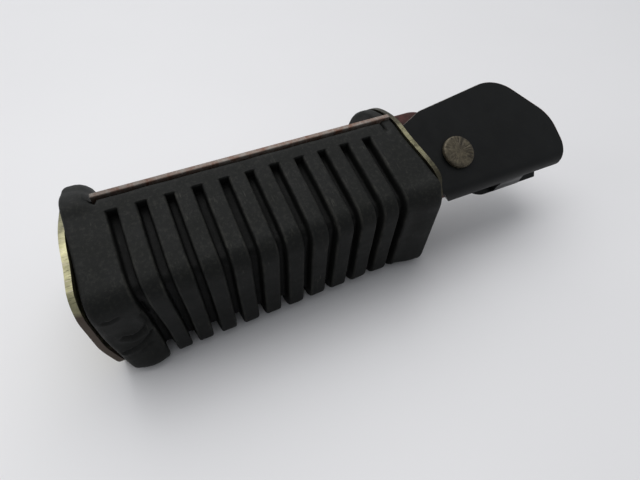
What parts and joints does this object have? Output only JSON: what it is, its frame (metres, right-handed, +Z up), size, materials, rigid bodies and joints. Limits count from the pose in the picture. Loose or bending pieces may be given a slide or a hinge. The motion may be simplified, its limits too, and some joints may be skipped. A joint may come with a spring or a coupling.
{
  "type": "motorcycle passenger footpeg",
  "caption": "Folding motorcycle passenger footpeg: ribbed rubber grip between D-shaped end plates, on a pressed channel bracket with a riveted hinge pin.",
  "frame": {"origin": "bottom centre of the bounding box, with the part lying on one side of its grip", "axes": "+X inboard along the grip towards the bracket, +Y from the tread towards the base, +Z up"},
  "size_m": [0.1636, 0.0536, 0.0459],
  "materials": {
    "rubber": "matte, dusty",
    "zinc": "yellowed zinc plating",
    "black_paint": "worn satin black",
    "bare_steel": "weathered",
    "rusted_steel": "surface rust",
    "pin_steel": "dull, peened",
    "spring_steel": "satin",
    "weld": "rough"
  },
  "bodies": {
    "bracket": {"mounting_bracket": "black_paint", "hinge_pin": "pin_steel", "shim_washer": "spring_steel", "wave_washer": "spring_steel", "tail_washer": "spring_steel"},
    "peg": {"rubber_grip": "rubber", "outer_end_plate": "zinc", "inner_end_plate": "zinc", "base_plate": "bare_steel", "stiffener": "bare_steel", "stiffener_weld_near": "weld", "stiffener_weld_far": "weld", "outer_tab_weld": "weld", "inner_tab_weld": "weld", "hinge_lug": "rusted_steel", "lug_weld": "weld"}
  },
  "joints": [
    {"name": "peg_fold", "type": "hinge", "parent": "bracket", "child": "peg", "pos_m": [0.03925, -0.0066, 0.02645], "axis": [0, -0.5707, 0.8211], "range_deg": [0, 90]}
  ]
}
